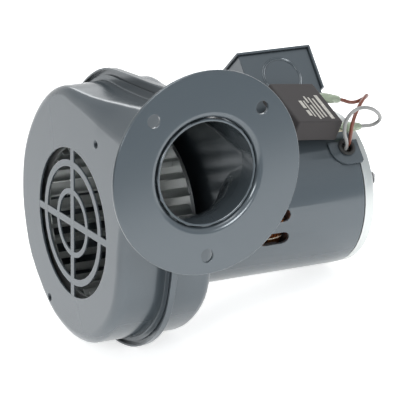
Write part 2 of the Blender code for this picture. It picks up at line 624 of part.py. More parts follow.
def build_stator():
    outer = MOTOR_RADIUS - CAN_WALL - GAP
    end = CORE_START + CORE_LENGTH
    core = turned("stator_core", ring(CORE_START, end, CORE_BORE, outer), LAMINATION, 40)
    bm = bmesh.new()
    for angle in THROUGH_ANGLES:
        y, z = polar(angle, THROUGH_CIRCLE)
        add_rod(bm, (CORE_START - 2, y, z), (end + 2, y, z), 2.4, 8)
    cut(core, cutter("core_bolt_holes", bm))
    coil_outer = outer - 5.5
    for name, low, high in (("front_coil_ends", CORE_START - 17.0, CORE_START - GAP),
                            ("rear_coil_ends", end + GAP, MOTOR_END - 4.6)):
        bm = bmesh.new()
        steps = 6 * COIL_COUNT
        rows = []
        for i in range(steps):
            swell = abs(math.sin(math.pi * COIL_COUNT * i / steps)) ** 0.5
            turn = 360.0 * i / steps
            inner_r = CORE_BORE + 3.2 - 1.6 * swell
            outer_r = coil_outer - 2.6 + 2.6 * swell
            trim = 2.0 * (1 - swell)
            ends = (low + trim, high) if low < CORE_START else (low, high - trim)
            section = ((ends[0], inner_r), (ends[0], outer_r), (ends[1], outer_r), (ends[1], inner_r))
            rows.append([bm.verts.new((x, *polar(turn, r))) for x, r in section])
        for here, there in zip(rows, rows[1:] + rows[:1]):
            for j in range(4):
                k = (j + 1) % 4
                bm.faces.new((here[j], here[k], there[k], there[j]))
        finish(name, bm, COPPER)
    bm = bmesh.new()
    frame = local_frame(330.0, 74.0, MOTOR_RADIUS - CAN_WALL - 3.6)
    add_block(bm, (12.0, 6.0, 3.0), frame, 0.6)
    finish("thermal_protector", bm, PLASTIC)


def build_rotor():
    radius = CORE_BORE - ROTOR_GAP
    end = CORE_START + CORE_LENGTH
    turned("rotor_core", ring(CORE_START, end, SHAFT_RADIUS + GAP, radius), LAMINATION, 32)
    inner, outer = radius - 8, radius - 1
    turned("rotor_front_ring", ring(CORE_START - 6, CORE_START - GAP, inner, outer, 0.8), ALUMINIUM)
    turned("rotor_rear_ring", ring(end + GAP, end + 6, inner, outer, 0.8), ALUMINIUM)
    shaft_end = REAR_BEARING_X + BEARING_LENGTH - 0.6
    turned("motor_shaft", (
        (HUB_FRONT - 4.0, 0.0), (HUB_FRONT - 4.0, SHAFT_RADIUS - 0.6), (HUB_FRONT - 3.4, SHAFT_RADIUS),
        (shaft_end - 0.6, SHAFT_RADIUS), (shaft_end, SHAFT_RADIUS - 0.6), (shaft_end, 0.0),
    ), STEEL, 24)
    front = FRONT_BEARING_X + BEARING_LENGTH + GAP
    rear = REAR_BEARING_X - GAP - WASHER
    for name, start in (("front_thrust_washer", front), ("rear_thrust_washer", rear)):
        turned(name, ring(start, start + WASHER, SHAFT_RADIUS + 0.1, 7.0), PLASTIC, 20)
    start, end = front + WASHER + GAP, front + 9.0
    fan = turned("cooling_fan", ring(start, end, SHAFT_RADIUS + GAP, 8.0), PLASTIC, 20)
    bm = bmesh.new()
    for number in range(FAN_VANES):
        turn = Matrix.Rotation(math.tau * number / FAN_VANES, 4, "X")
        add_block(bm, (end - start - 1.0, 1.2, 21.0),
                  turn @ Matrix.Translation(((start + end) / 2, 0, 7.4 + 10.5)))
    cut(fan, cutter("cooling_vanes", bm), "UNION")


def build_bearings():
    for name, start in (("front_bearing", FRONT_BEARING_X), ("rear_bearing", REAR_BEARING_X)):
        sleeve = ring(start, start + BEARING_LENGTH, SHAFT_RADIUS + 0.06, BEARING_RADIUS, 0.6)
        turned(name, sleeve, BRONZE, 24)


# ---- wiring box ---------------------------------------------------------------------------------
def box_frame():
    return local_frame(BOX_ANGLE, 0.0, 0.0)


def build_wiring_box():
    """Box in its own frame: X along the motor, Y across towards the outlet, Z out from the axis."""
    frame = box_frame()
    middle = (BOX_START + BOX_END) / 2
    length = BOX_END - BOX_START
    low = 26.0
    bm = bmesh.new()
    add_block(bm, (length, 2 * BOX_HALF, BOX_TOP - low),
              frame @ Matrix.Translation((middle, 0, (BOX_TOP + low) / 2)))
    box = finish("wiring_box", bm, PAINT)
    bm = bmesh.new()
    add_block(bm, (length - 2 * BOX_SHEET, 2 * (BOX_HALF - BOX_SHEET), BOX_TOP - low + 20),
              frame @ Matrix.Translation((middle, 0, (BOX_TOP + low) / 2)))
    cut(box, cutter("box_inside", bm))
    bm = bmesh.new()
    add_rod(bm, (BOX_START - 5, 0, 0), (BOX_END + 5, 0, 0), MOTOR_RADIUS + GAP, 64)
    cut(box, cutter("box_saddle", bm))
    bm = bmesh.new()
    hole = frame @ Matrix.Translation((KNOCKOUT_X, 0, KNOCKOUT_HEIGHT))
    add_rod(bm, hole @ Vector((0, BOX_HALF - 4, 0)), hole @ Vector((0, BOX_HALF + 4, 0)),
            KNOCKOUT_RADIUS + GAP, 28)
    cut(box, cutter("knockout_hole", bm))
    bm = bmesh.new()
    add_rod(bm, hole @ Vector((0, BOX_HALF - BOX_SHEET, 0)), hole @ Vector((0, BOX_HALF - 0.1, 0)),
            KNOCKOUT_RADIUS, 28)
    finish("knockout_disc", bm, PAINT)
    bm = bmesh.new()
    top = BOX_TOP + GAP
    half = BOX_HALF + COVER_LIP
    end = BOX_END + GAP
    outline = [(BOX_START - 1.4, top), (end, top), (end, 47.0), (end + BOX_SHEET, 47.0),
               (end + BOX_SHEET, top + BOX_SHEET - 0.6), (end + BOX_SHEET - 0.6, top + BOX_SHEET),
               (BOX_START - 1.4, top + BOX_SHEET)]
    stand = Matrix(((1, 0, 0, 0), (0, 0, 1, 0), (0, 1, 0, 0), (0, 0, 0, 1)))
    add_plate(bm, outline, -half, half, frame @ stand)
    cover = finish("box_cover", bm, PAINT)
    bm = bmesh.new()
    for number, across in enumerate((-19.0, 19.0), 1):
        base = frame @ Matrix.Translation((middle, across, top))
        add_rod(bm, base @ Vector((0, 0, -3)), base @ Vector((0, 0, BOX_SHEET + 3)), BOX_SCREW + GAP, 16)
        screw(f"box_cover_screw_{number}", STEEL, base @ Vector((0, 0, -5)),
              base @ Vector((0, 0, BOX_SHEET + GAP)), BOX_SCREW, 3.6, 2.0)
    cut(cover, cutter("cover_screw_holes", bm))


# ---- capacitor, lead plate and leads ------------------------------------------------------------
def capacitor_frame():
    """Frame at the capacitor's front left upper corner: X along, Y towards the back, Z out of its top."""
    base = local_frame(CAP_ANGLE, 0.0, 0.0)
    out = base.col[2].xyz
    down = base.col[1].xyz
    tilt = math.radians(CAP_TILT)
    along = Vector((1, 0, 0)) * math.cos(tilt) - out * math.sin(tilt)
    top = out * math.cos(tilt) + Vector((1, 0, 0)) * math.sin(tilt)
    frame = Matrix.Identity(4)
    frame.col[0] = (*along, 0)
    frame.col[1] = (*(-down), 0)
    frame.col[2] = (*top, 0)
    frame.col[3] = (*CAP_CORNER, 1)
    return frame




def terminal_frame(back, down, dip):
    frame = capacitor_frame()
    return frame @ Matrix.Translation((CAP_SIZE[0], back, -down)) @ Matrix.Rotation(
        math.radians(dip - CAP_TILT), 4, "Y")


def build_capacitor():
    frame = capacitor_frame()
    length, depth, height = CAP_SIZE
    bm = bmesh.new()
    add_block(bm, CAP_SIZE, frame @ Matrix.Translation((length / 2, depth / 2, -height / 2)), 0.9, 2)
    finish("capacitor_case", bm, PLASTIC)
    for name, back, down, dip in TERMINALS:
        at = terminal_frame(back, down, dip)
        blade = bmesh.new()
        add_block(blade, (BLADE_STUB + 6.0, 6.3, 0.8),
                  at @ Matrix.Translation((2 * GAP + (BLADE_STUB + 6.0) / 2, 0, 0)))
        finish(name + "_terminal", blade, BRASS)
        boot = bmesh.new()
        start = BLADE_STUB
        rings = []
        for along, wide, tall in BOOT_OUTSIDE + BOOT_TUNNEL:
            rings.append([boot.verts.new(at @ Vector((start + along, wide * y, tall * z)))
                          for y, z in circle(1.0, BOOT_SIDES)])
        rings.append(rings[0])
        for here, there in zip(rings, rings[1:]):
            for i in range(BOOT_SIDES):
                j = (i + 1) % BOOT_SIDES
                boot.faces.new((here[i], here[j], there[j], there[i]))
        finish(name + "_boot", boot, VINYL)
    bracket = bmesh.new()
    plate = frame @ Matrix.Translation((0, 0, -height - GAP))
    outline = [(-1.6, 0.0), (15.0, 0.0), (15.0, -1.2), (-0.4, -1.2), (-0.4, -2.6), (-1.6, -2.6)]
    stand = Matrix(((1, 0, 0, 0), (0, 0, 1, 0), (0, 1, 0, 0), (0, 0, 0, 1)))
    add_plate(bracket, outline, 6.0, depth - 8.0, plate @ stand)
    finish("capacitor_bracket", bracket, DARK)


def build_lead_plate():
    frame = local_frame(LEAD_ANGLE, 0.0, MOTOR_RADIUS + 0.15)
    left, right, low, high = LEAD_PLATE
    corner = LEAD_PLATE_CORNER
    outline = [(left, high), (right, high), (right, low - 1.4), (right - 1.4, low)]
    outline += [(left + corner * (1 - math.sin(t)), low - corner * (1 - math.cos(t)))
                for t in (math.pi / 2 * i / 8 for i in range(9))]
    bm = bmesh.new()
    add_plate(bm, outline, 0.0, BOX_SHEET, frame)
    plate = finish("lead_plate", bm, PAINT)
    at = Vector((LEAD_HOLE_X, LEAD_HOLE_DROP, 0))
    bm = bmesh.new()
    add_rod(bm, frame @ (at + Vector((0, 0, -3))), frame @ (at + Vector((0, 0, 4))), LEAD_HOLE_RADIUS, 20)
    cut(plate, cutter("lead_plate_hole", bm))
    out = frame.col[2].xyz
    radius = LEAD_HOLE_RADIUS - GAP
    bore = radius - GROMMET_WALL
    face = BOX_SHEET + GAP
    bm = bmesh.new()
    add_turned(bm, ((-0.9, bore), (-0.9, radius), (face, radius), (face, radius + 1.0),
                    (face + 1.0, radius + 0.7), (face + 1.2, radius - 0.6), (face + 0.8, bore)), 20,
               axis=out, centre=frame @ at)
    finish("lead_grommet", bm, RUBBER)


LEAD_HOLE_DROP = -1.7
# Points that the two leads pass through, in fan coordinates, from the lead hole to the capacitor.


def lead(name, route, mat):
    stations = [Vector(p) for p in route]
    gaps = [2] * (len(stations) - 1)
    points = smooth_through([tuple(p) for p in stations], gaps)
    curve = bpy.data.curves.new(name, "CURVE")
    curve.dimensions = "3D"
    curve.bevel_depth = LEAD_DIAMETER / 2 * MM
    curve.bevel_resolution = 2
    curve.use_fill_caps = True
    spline = curve.splines.new("POLY")
    spline.points.add(len(points) - 1)
    for slot, point in zip(spline.points, points):
        slot.co = (*(Vector(point) * MM), 1.0)
    curve.materials.append(mat)
    obj = bpy.data.objects.new(name, curve)
    obj.location = AXIS
    bpy.context.scene.collection.objects.link(obj)


# ---- materials and assembly ---------------------------------------------------------------------
clear_scene()
CUT = material("cutter", (1.0, 0.0, 0.0), 0.0, 0.5)
PAINT = material("blue_grey_enamel", (0.075, 0.09, 0.10), 0.0, 0.22)
ZINC = material("zinc_plate", (0.55, 0.57, 0.56), 1.0, 0.3)
STEEL = material("bright_steel", (0.6, 0.6, 0.6), 1.0, 0.3)
CAST = material("cast_aluminium", (0.5, 0.5, 0.5), 1.0, 0.5)
ALUMINIUM = material("cast_rotor_aluminium", (0.65, 0.65, 0.66), 1.0, 0.4)
LAMINATION = material("lamination_steel", (0.2, 0.2, 0.21), 1.0, 0.45)
COPPER = material("enamelled_copper", (0.55, 0.2, 0.07), 1.0, 0.35)
BRONZE = material("sintered_bronze", (0.5, 0.33, 0.16), 1.0, 0.5)
BRASS = material("tinned_brass", (0.7, 0.66, 0.5), 1.0, 0.3)
PLASTIC = material("dark_plastic", (0.03, 0.028, 0.026), 0.0, 0.45)
DARK = material("black_sheet", (0.02, 0.02, 0.02), 0.0, 0.5)
RUBBER = material("black_rubber", (0.02, 0.02, 0.02), 0.0, 0.7)
VINYL = material("clear_vinyl", (0.45, 0.52, 0.4), 0.0, 0.25)
BROWN = material("brown_lead", (0.3, 0.07, 0.03), 0.0, 0.4)
GREY = material("grey_lead", (0.25, 0.25, 0.25), 0.0, 0.4)

build_housing()
build_outlet_flange()
build_wheel()
build_motor_case()
build_fasteners()
build_stator()
build_rotor()
build_bearings()
build_wiring_box()
build_capacitor()
build_lead_plate()
lead("brown_lead", BROWN_ROUTE, BROWN)
lead("grey_lead", GREY_ROUTE, GREY)
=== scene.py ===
"""Looks of a combustion blower: enamelled scroll housing, fan wheel, motor, wiring box and leads."""
import json
import math

import bpy
from mathutils import Matrix, Vector

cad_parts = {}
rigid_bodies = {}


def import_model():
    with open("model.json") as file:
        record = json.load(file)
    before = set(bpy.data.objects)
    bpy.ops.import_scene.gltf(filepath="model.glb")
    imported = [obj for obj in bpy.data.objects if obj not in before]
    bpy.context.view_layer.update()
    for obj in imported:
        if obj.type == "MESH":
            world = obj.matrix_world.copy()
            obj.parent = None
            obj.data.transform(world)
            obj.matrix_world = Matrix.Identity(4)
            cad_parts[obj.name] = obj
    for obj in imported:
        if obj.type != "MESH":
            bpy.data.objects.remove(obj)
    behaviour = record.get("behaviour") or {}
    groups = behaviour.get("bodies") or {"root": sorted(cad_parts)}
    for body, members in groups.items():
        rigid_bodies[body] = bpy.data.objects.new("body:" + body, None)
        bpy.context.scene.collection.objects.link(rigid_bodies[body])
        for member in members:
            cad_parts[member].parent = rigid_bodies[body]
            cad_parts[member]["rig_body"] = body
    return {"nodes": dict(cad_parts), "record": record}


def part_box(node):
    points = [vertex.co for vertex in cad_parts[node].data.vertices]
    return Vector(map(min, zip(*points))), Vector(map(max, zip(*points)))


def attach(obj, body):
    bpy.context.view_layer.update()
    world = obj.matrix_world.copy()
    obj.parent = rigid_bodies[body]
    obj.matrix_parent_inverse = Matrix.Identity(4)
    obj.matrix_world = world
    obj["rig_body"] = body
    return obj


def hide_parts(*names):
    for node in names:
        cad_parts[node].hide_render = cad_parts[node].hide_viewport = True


bl_info = {
    "name": "Combustion Blower",
    "version": (1, 0, 0),
    "blender": (4, 5, 0),
    "location": "View3D > Sidebar > Blower",
    "description": "Builds the finished surfaces of a small combustion blower round its CAD frame",
    "category": "Object",
}

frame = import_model()
NODES = frame["nodes"]
MM = 0.001
REACH = 100.4                 # outlet face to the fan axis
RISE = 50.5                   # outlet's centre above the fan axis
HALF_WIDTH = 28.6             # housing's seam to its inlet face

FLANGE_RIM = 53.975           # radii of the outlet flange
BORE = 28.97
BOLT_CIRCLE = 44.0
BOLT_HOLE = 3.57
BOLT_ANGLES = (45, 135, 270)
FLANGE_SHEET = 1.9
BORE_WALL = 1.5
BORE_ROUND = 3.4              # round from the flange's face into the bore
NECK_ROUND = 1.5              # round behind the flange
TAPPED_RADIUS = 59.1
TAPPED_ANGLES = (60.5, 240.5)

BOX_ANGLE = 130.0             # angles round the motor: 0 faces the outlet, 90 is up
BOX_MIDDLE = (110.0, 57.5)    # along the motor, and out from its axis
BOX_HALF_DEPTH = 29.3
CAP_ANGLE = 67.5
CAP_TILT = 7.5
CAP_SIZE = (29.5, 36.9, 13.0)
CAP_CORNER = (90.4, -38.2, 51.5)
CAP_RIM = 1.5                 # rim round the recess in the capacitor's end
LEAD_ANGLE = 42.0
LEAD_HOLE = (124.5, -1.7)     # along the motor, and down round the can
LEAD_PLATE_OUT = 43.85        # lead plate's middle, out from the motor's axis

BLADE_COUNT = 30
BLADE_CURVE = ((39.0, 0.0), (42.2, -1.9), (45.4, -0.4), (48.1, 3.6))
BLADE_SHEET = 0.6
BAND_SHEET = 0.7
WHEEL_SPAN = (-22.2, 20.8)

FLOOR_EDGE = -0.27            # near edge of the floor in metres, in front of the outlet's face
FLOOR_LEVEL = -0.1235
FLOOR_TILT = 11.5
FRONT_WALL = (0.40, 0.455, 0.50)
BACK_WALL = (1.1, 1.1, 1.1)
CEILING = (0.62, 0.64, 0.66)
DARK_SIDE = (0.03, 0.037, 0.04)
AIM = (0.04, 0.08, -0.03)     # middle of the blower, where the lamps point

# Routes of the leads, in millimetres from the fan axis.
BROWN_ROUTE = (
    (125.6, -27.8, 29.1), (125.6, -32.5, 33.3), (124.9, -35.0, 36.5), (124.5, -36.5, 40.3),
    (125.2, -36.3, 44.3), (126.9, -35.3, 48.0), (129.2, -33.8, 51.0), (132.0, -31.8, 53.3),
    (134.9, -29.5, 55.1), (138.0, -26.9, 56.2), (141.0, -24.2, 56.7), (143.8, -21.2, 56.4),
    (146.1, -17.9, 55.3), (147.5, -14.5, 53.5), (147.6, -10.9, 51.5), (145.6, -8.0, 49.5),
    (142.0, -6.4, 49.2), (138.2, -5.7, 50.6), (134.2, -5.8, 51.7), (130.2, -6.2, 52.6),
)
GREY_ROUTE = (
    (123.1, -29.4, 27.4), (123.0, -34.1, 31.6), (121.9, -36.7, 34.6), (120.2, -38.9, 37.7),
    (118.2, -40.6, 41.0), (116.9, -42.0, 44.6), (116.5, -43.3, 48.6), (117.5, -44.4, 52.4),
    (120.2, -45.0, 55.5), (124.0, -45.2, 57.0), (128.1, -44.9, 56.9), (132.0, -44.1, 55.8),
    (135.6, -42.8, 54.0), (138.7, -41.1, 51.8), (141.4, -39.0, 49.4), (143.3, -36.5, 46.8),
    (143.9, -33.4, 44.1), (142.1, -30.5, 41.9), (138.3, -28.9, 41.4), (134.2, -28.7, 41.6),
    (130.1, -28.8, 41.8),
)


# ---- settings -------------------------------------------------------------------------------------
def colour(label, about, value):
    return bpy.props.FloatVectorProperty(name=label, description=about, default=value, size=3,
                                         min=0.0, max=1.0, subtype="COLOR")


def size(label, about, value, low, high):
    return bpy.props.FloatProperty(name=label, description=about, default=value, min=low, max=high,
                                   unit="LENGTH", subtype="DISTANCE", precision=5)


class BlowerColours(bpy.types.PropertyGroup):
    enamel: colour("Enamel", "Glossy paint of the housing, motor and box", (0.034, 0.043, 0.049))
    enamel_dust: colour("Enamel, dusty", "Lighter patches of the paint", (0.046, 0.054, 0.058))
    zinc: colour("Zinc", "Plated sheet of the wheel and end cover", (0.76, 0.78, 0.77))
    steel: colour("Steel", "Screws, hub and shaft", (0.52, 0.52, 0.50))
    copper: colour("Copper", "Varnished motor windings", (0.78, 0.47, 0.24))
    capacitor: colour("Capacitor", "Moulded plastic of the capacitor", (0.030, 0.029, 0.027))
    print_marks: colour("Printed marks", "Pale bars printed on the capacitor", (0.55, 0.53, 0.48))
    vinyl: colour("Vinyl", "Clear sleeves of the terminals", (0.55, 0.66, 0.42))
    brown: colour("Brown lead", "Insulation of the brown lead", (0.13, 0.036, 0.020))
    grey: colour("Grey lead", "Insulation of the grey lead", (0.20, 0.20, 0.195))
    rubber: colour("Rubber", "Grommet of the leads", (0.018, 0.018, 0.018))
    floor: colour("Floor", "Pale floor under the blower", (0.92, 0.92, 0.92))


class BlowerSizes(bpy.types.PropertyGroup):
    sheet_edge: size("Sheet edge", "Rounding of the painted sheet's edges", 0.00028, 0.0, 0.0005)
    small_edge: size("Small edge", "Rounding of edges on small pieces", 0.00015, 0.0, 0.0004)
    lead: size("Lead diameter", "Outside of a lead's insulation", 0.0021, 0.001, 0.0025)
    wire: size("Winding wire", "Diameter of the winding's wire", 0.0011, 0.0005, 0.002)
    screw_head: size("Screw head", "Radius of the pan-headed screws", 0.0036, 0.002, 0.004)
    floor: size("Floor reach", "Half the width of the floor", 3.2, 0.5, 5.0)


def colours():
    return bpy.context.scene.blower_colours


def sizes():
    return bpy.context.scene.blower_sizes


# ---- places ---------------------------------------------------------------------------------------
def fan_point(x, y, z):
    """Point given in millimetres from the fan axis, with X from the housing's seam."""
    return Vector((x, y + REACH, z - RISE)) * MM


def round_axis(angle, radius, x=0.0):
    turn = math.radians(angle)
    return fan_point(x, -radius * math.cos(turn), radius * math.sin(turn))


def motor_place(angle, along, radius):
    """Place on the motor: X along it, Y down round the can, Z straight out."""
    turn = math.radians(angle)
    out = Vector((0, -math.cos(turn), math.sin(turn)))
    down = Vector((0, -math.sin(turn), -math.cos(turn)))
    place = Matrix.Identity(4)
    place.col[0] = (1, 0, 0, 0)
    place.col[1] = (*down, 0)
    place.col[2] = (*out, 0)
    place.col[3] = (*(fan_point(along, 0, 0) + out * radius * MM), 1)
    return place


def capacitor_place():
    """Place of the capacitor's front upper corner: X along, Y to the back, Z out of its top."""
    base = motor_place(CAP_ANGLE, 0.0, 0.0)
    out = base.col[2].xyz
    tilt = math.radians(CAP_TILT)
    place = Matrix.Identity(4)
    place.col[0] = (*(Vector((1, 0, 0)) * math.cos(tilt) - out * math.sin(tilt)), 0)
    place.col[1] = (*(-base.col[1].xyz), 0)
    place.col[2] = (*(out * math.cos(tilt) + Vector((1, 0, 0)) * math.sin(tilt)), 0)
    place.col[3] = (*fan_point(*CAP_CORNER), 1)
    return place


# ---- finishes -------------------------------------------------------------------------------------
def finish(name, base, patch, metallic=0.0, gloss=(0.2, 0.3), patch_size=40.0, relief=0.1,
           grain=600.0, depth=0.0002, stretch=(1, 1, 1)):
    """Surface with patches of colour and gloss, and a fine relief, all set by place on the object."""
    mat = bpy.data.materials.get(name)
    if mat:
        return mat
    mat = bpy.data.materials.new(name)
    mat.use_nodes = True
    nodes, links = mat.node_tree.nodes, mat.node_tree.links
    shader = nodes["Principled BSDF"]
    shader.inputs["Metallic"].default_value = metallic
    where = nodes.new("ShaderNodeTexCoord")
    turn = nodes.new("ShaderNodeMapping")
    turn.inputs["Scale"].default_value = stretch
    links.new(where.outputs["Object"], turn.inputs["Vector"])
    patches = nodes.new("ShaderNodeTexNoise")
    patches.inputs["Scale"].default_value = patch_size
    patches.inputs["Detail"].default_value = 5.0
    links.new(turn.outputs["Vector"], patches.inputs["Vector"])
    tint = nodes.new("ShaderNodeValToRGB")
    tint.color_ramp.elements[0].position = 0.38
    tint.color_ramp.elements[0].color = (*base, 1)
    tint.color_ramp.elements[1].position = 0.78
    tint.color_ramp.elements[1].color = (*patch, 1)
    links.new(patches.outputs["Fac"], tint.inputs["Fac"])
    links.new(tint.outputs["Color"], shader.inputs["Base Color"])
    shine = nodes.new("ShaderNodeMapRange")
    shine.inputs["From Min"].default_value = 0.3
    shine.inputs["From Max"].default_value = 0.7
    shine.inputs["To Min"].default_value = gloss[0]
    shine.inputs["To Max"].default_value = gloss[1]
    links.new(patches.outputs["Fac"], shine.inputs["Value"])
    links.new(shine.outputs["Result"], shader.inputs["Roughness"])
    texture = nodes.new("ShaderNodeTexNoise")
    texture.inputs["Scale"].default_value = grain
    texture.inputs["Detail"].default_value = 2.0
    links.new(turn.outputs["Vector"], texture.inputs["Vector"])
    bump = nodes.new("ShaderNodeBump")
    bump.inputs["Strength"].default_value = relief
    bump.inputs["Distance"].default_value = depth
    links.new(texture.outputs["Fac"], bump.inputs["Height"])
    links.new(bump.outputs["Normal"], shader.inputs["Normal"])
    return mat


def enamel():
    mat = finish("blue_grey_enamel", colours().enamel, colours().enamel_dust, gloss=(0.025, 0.07),
                 patch_size=28.0, relief=0.2, grain=300.0, depth=0.00010)
    shader = mat.node_tree.nodes["Principled BSDF"]
    shader.inputs["Specular IOR Level"].default_value = 0.85
    return mat


def zinc():
    base = colours().zinc
    return finish("zinc_plate", [c * 0.78 for c in base], base, metallic=1.0, gloss=(0.22, 0.42),
                  patch_size=90.0, relief=0.12, grain=900.0)


def steel():
    base = colours().steel
    return finish("bright_steel", [c * 0.8 for c in base], base, metallic=1.0, gloss=(0.2, 0.38),
                  patch_size=200.0, relief=0.15, grain=1600.0)


def copper():
    base = colours().copper
    return finish("enamelled_copper", [c * 0.6 for c in base], base, metallic=0.9, gloss=(0.22, 0.4),
                  patch_size=260.0, relief=0.2, grain=1400.0)


def cast_metal():
    return finish("cast_aluminium", (0.42, 0.42, 0.42), (0.55, 0.55, 0.54), metallic=1.0, gloss=(0.42, 0.6),
                  patch_size=120.0, relief=0.5, grain=1300.0, depth=0.0003)


def lamination():
    return finish("lamination_steel", (0.10, 0.10, 0.105), (0.20, 0.19, 0.18), metallic=0.9,
                  gloss=(0.4, 0.55), patch_size=150.0, relief=0.7, grain=160.0, depth=0.0006,
                  stretch=(14, 0.4, 0.4))


def bronze():
    return finish("sintered_bronze", (0.38, 0.25, 0.12), (0.55, 0.38, 0.2), metallic=1.0, gloss=(0.45, 0.6),
                  patch_size=300.0, relief=0.5, grain=3000.0)


def tinned():
    return finish("tinned_brass", (0.55, 0.52, 0.42), (0.75, 0.72, 0.62), metallic=1.0, gloss=(0.22, 0.35),
                  patch_size=300.0, relief=0.1, grain=1500.0)


def dark_plastic():
    base = colours().capacitor
    return finish("dark_plastic", base, [c * 1.5 for c in base], gloss=(0.34, 0.48),
                  patch_size=120.0, relief=0.25, grain=2400.0, depth=0.00012)


# Near-black sheet: on the capacitor's bracket this black is painted shade, a dark sheet filling the shadowed
# gap under the capacitor
def black_sheet():
    return finish("black_sheet", (0.015, 0.015, 0.015), (0.03, 0.03, 0.03), gloss=(0.35, 0.5),
                  patch_size=200.0, relief=0.2, grain=1500.0)


def rubber():
    base = colours().rubber
    return finish("black_rubber", base, [c * 1.8 for c in base], gloss=(0.5, 0.7),
                  patch_size=300.0, relief=0.3, grain=2500.0)


def vinyl():
    base = colours().vinyl
    mat = finish("clear_vinyl", base, [min(1.0, c * 1.25) for c in base], gloss=(0.16, 0.3),
                 patch_size=180.0, relief=0.15, grain=900.0)
    shader = mat.node_tree.nodes["Principled BSDF"]
    shader.inputs["Transmission Weight"].default_value = 0.55
    shader.inputs["IOR"].default_value = 1.35
    return mat


def insulation(name, base):
    return finish(name, base, [min(1.0, c * 1.2) for c in base], gloss=(0.28, 0.4),
                  patch_size=250.0, relief=0.2, grain=1800.0, depth=0.0001)


FINISHES = {
    "blue_grey_enamel": enamel, "zinc_plate": zinc, "bright_steel": steel, "cast_aluminium": cast_metal,
    "cast_rotor_aluminium": cast_metal, "lamination_steel": lamination, "enamelled_copper": copper,
    "sintered_bronze": bronze, "tinned_brass": tinned, "dark_plastic": dark_plastic,
    "black_sheet": black_sheet, "black_rubber": rubber, "clear_vinyl": vinyl,
    "brown_lead": lambda: insulation("brown_insulation", colours().brown),
    "grey_lead": lambda: insulation("grey_insulation", colours().grey),
}
SLOT_OF = {piece["node"]: piece["material_slot"] for piece in frame["record"]["subparts"]}


# ---- making ---------------------------------------------------------------------------------------
def alone(piece=None):
    """Nothing selected but the piece."""
    if bpy.context.object and bpy.context.object.mode != "OBJECT":
        bpy.ops.object.mode_set(mode="OBJECT")
    bpy.ops.object.select_all(action="DESELECT")
    if piece:
        piece.select_set(True)
        bpy.context.view_layer.objects.active = piece
    return piece


def all_in_edit(piece):
    alone(piece)
    bpy.ops.object.mode_set(mode="EDIT")
    bpy.ops.mesh.select_all(action="SELECT")


def out_of_edit():
    bpy.ops.object.mode_set(mode="OBJECT")


def ease_edges(piece, width, angle=36.0, segments=2):
    alone(piece)
    bevel = piece.modifiers.new("edges", "BEVEL")
    bevel.width = width
    bevel.segments = segments
    bevel.limit_method = "ANGLE"
    bevel.angle_limit = math.radians(angle)
    bevel.use_clamp_overlap = True
    bpy.ops.object.modifier_apply(modifier=bevel.name)


def smooth(piece, angle=34.0):
    """Curves shaded smooth, with the flats kept flat up to their rounded edges."""
    alone(piece)
    bpy.ops.object.shade_smooth_by_angle(angle=math.radians(angle))
    flats = piece.modifiers.new("flats", "WEIGHTED_NORMAL")
    flats.keep_sharp = True
    flats.weight = 80
    bpy.ops.object.modifier_apply(modifier=flats.name)


def settle(piece, name, place=None):
    """Give a piece its name and put its place into its mesh."""
    piece.name = name
    piece.data.name = name
    if place is not None:
        piece.matrix_world = place @ piece.matrix_world
    alone(piece)
    bpy.ops.object.transform_apply(location=True, rotation=True, scale=True)
    return piece


def paint(piece, slot, mat=None):
    piece.data.materials.clear()
    piece.data.materials.append(mat or FINISHES[slot]())


def stand_for(piece, *nodes):
    """The piece rides with the nodes' body and is shown in their place."""
    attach(piece, NODES[nodes[0]]["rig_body"])
    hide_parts(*nodes)


def refined(node, edge=0.0, angle=34.0, slot=None, rounds=0):
    """Merged copy of a CAD node, its flats joined, its edges eased and its curves shaded smooth."""
    piece = bpy.data.objects.new(node + "_finished", NODES[node].data.copy())
    bpy.context.scene.collection.objects.link(piece)
    all_in_edit(piece)
    bpy.ops.mesh.remove_doubles(threshold=0.000006)
    bpy.ops.mesh.dissolve_limited(angle_limit=math.radians(0.6))
    out_of_edit()
    if edge:
        ease_edges(piece, edge, angle)
    if rounds:
        softer = piece.modifiers.new("rounds", "SUBSURF")
        softer.levels = softer.render_levels = rounds
        bpy.ops.object.modifier_apply(modifier=softer.name)
    smooth(piece, angle)
    paint(piece, slot or SLOT_OF[node])
    stand_for(piece, node)
    return piece


def turned(name, profile, centre, axis, steps=64):
    """Closed profile of (along, radius) pairs, spun about an axis through centre."""
    alone()
    bpy.ops.mesh.primitive_circle_add(vertices=len(profile), radius=0.01, fill_type="NOTHING")
    piece = bpy.context.object
    axis = Vector(axis).normalized()
    side = axis.orthogonal().normalized()
    for vert, (along, radius) in zip(piece.data.vertices, profile):
        vert.co = centre + (axis * along + side * radius) * MM
    all_in_edit(piece)
    bpy.ops.mesh.spin(steps=steps, angle=math.tau, center=centre, axis=axis)
    bpy.ops.mesh.select_all(action="SELECT")
    bpy.ops.mesh.remove_doubles(threshold=0.000004)
    bpy.ops.mesh.normals_make_consistent(inside=False)
    out_of_edit()
    return settle(piece, name)


def rod_tool(start, end, radius, vertices=40):
    alone()
    run = end - start
    bpy.ops.mesh.primitive_cylinder_add(vertices=vertices, radius=radius * MM, depth=run.length,
                                        location=(start + end) / 2,
                                        rotation=run.to_track_quat("Z", "Y").to_euler())
    return bpy.context.object


def block(dimensions, place, bevel=0.0, segments=3):
    """Block of a size in millimetres, its edges rounded in edit mode."""
    alone()
    bpy.ops.mesh.primitive_cube_add(size=MM)
    piece = bpy.context.object
    all_in_edit(piece)
    bpy.ops.transform.resize(value=dimensions)
    if bevel:
        bpy.ops.mesh.bevel(offset=bevel * MM, segments=segments, affect="EDGES")
    out_of_edit()
    piece.matrix_world = place
    return piece


